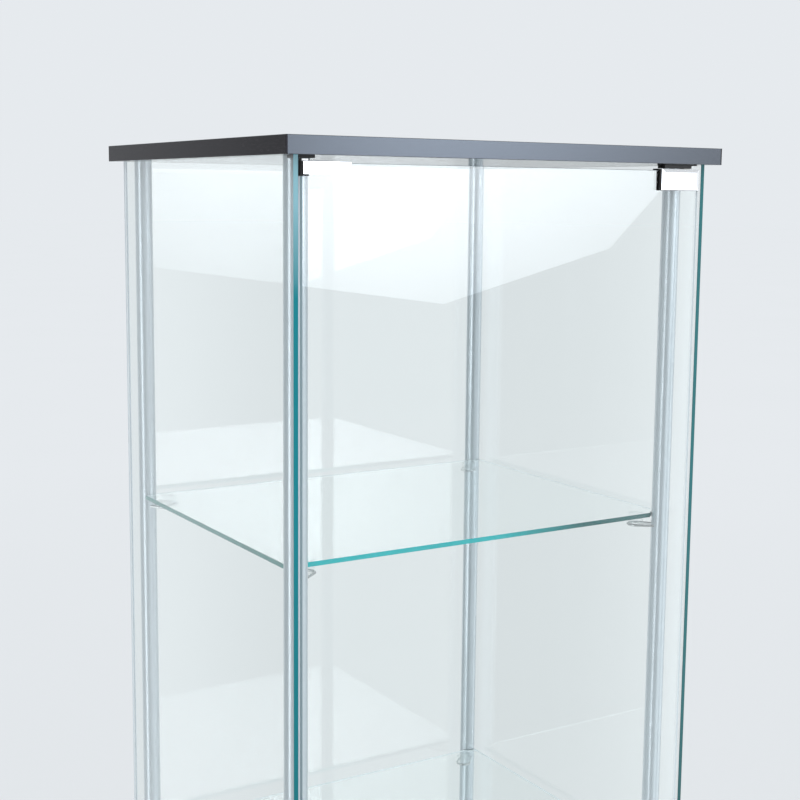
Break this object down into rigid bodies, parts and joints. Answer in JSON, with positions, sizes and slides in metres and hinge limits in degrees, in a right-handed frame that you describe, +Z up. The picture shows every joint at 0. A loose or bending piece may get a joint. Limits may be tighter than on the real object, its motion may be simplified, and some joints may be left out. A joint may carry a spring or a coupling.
{
  "type": "glass display cabinet",
  "caption": "Tall free-standing glass display cabinet with silver posts between two dark boards, glass shelves on wire supports and a pivoted glass door.",
  "frame": {"origin": "middle of the footprint, on the floor", "axes": "+Z up, +X to the right along the front, the front with the door faces -Y"},
  "size_m": [0.426, 0.364, 1.66],
  "materials": {
    "board": "foil wrapped board, dark charcoal, fine grain, satin",
    "edge_band": "dark charcoal edge band, satin",
    "post_metal": "satin silver",
    "plug": "moulded",
    "screw_steel": "zinc plated",
    "cap": "moulded, satin",
    "panel_glass": "clear float glass, ground edges, green edge tint",
    "door_glass": "clear float glass, ground edges, green edge tint",
    "shelf_glass": "clear float glass, ground edges, green edge tint",
    "wire": "bright nickel wire",
    "bumper": "clear soft plastic",
    "chrome": "polished",
    "black_plastic": "moulded",
    "black_rubber": "smooth",
    "magnet": "nickel plated",
    "washer": "natural nylon",
    "foot": "moulded"
  },
  "bodies": {
    "body": {"back_glass": "panel_glass", "base_board": "board", "base_front_back_bands": "edge_band", "base_side_bands": "edge_band", "catch_housing": "black_plastic", "catch_magnet": "magnet", "catch_screw": "screw_steel", "foot_glides": "foot", "foot_nails": "screw_steel", "hinge_base_socket": "black_plastic", "hinge_base_socket_screw": "screw_steel", "hinge_top_socket": "black_plastic", "hinge_top_socket_screw": "screw_steel", "post_back_left": "post_metal", "post_back_right": "post_metal", "post_front_left": "post_metal", "post_front_right": "post_metal", "post_plugs_base": "plug", "post_plugs_top": "plug", "post_screws_base": "screw_steel", "post_screws_top": "screw_steel", "screw_caps_base": "cap", "screw_caps_top": "cap", "shelf_1": "shelf_glass", "shelf_1_bumpers": "bumper", "shelf_1_wires": "wire", "shelf_2": "shelf_glass", "shelf_2_bumpers": "bumper", "shelf_2_wires": "wire", "shelf_3": "shelf_glass", "shelf_3_bumpers": "bumper", "shelf_3_wires": "wire", "shelf_4": "shelf_glass", "shelf_4_bumpers": "bumper", "shelf_4_wires": "wire", "side_glass_left": "panel_glass", "side_glass_right": "panel_glass", "top_board": "board", "top_front_back_bands": "edge_band", "top_side_bands": "edge_band"},
    "door": {"door_glass": "door_glass", "hinge_base_clamp": "chrome", "hinge_base_grub_screws": "screw_steel", "hinge_base_liner": "black_rubber", "hinge_base_pin": "screw_steel", "hinge_base_washer": "washer", "hinge_top_clamp": "chrome", "hinge_top_grub_screws": "screw_steel", "hinge_top_liner": "black_rubber", "hinge_top_pin": "screw_steel", "hinge_top_washer": "washer", "strike_clip": "chrome", "strike_liner": "black_rubber"}
  },
  "joints": [
    {"name": "door_hinge", "type": "hinge", "parent": "body", "child": "door", "pos_m": [0.1805, -0.1705, 0.833], "axis": [0, 0, 1], "range_deg": [0, 110]}
  ]
}
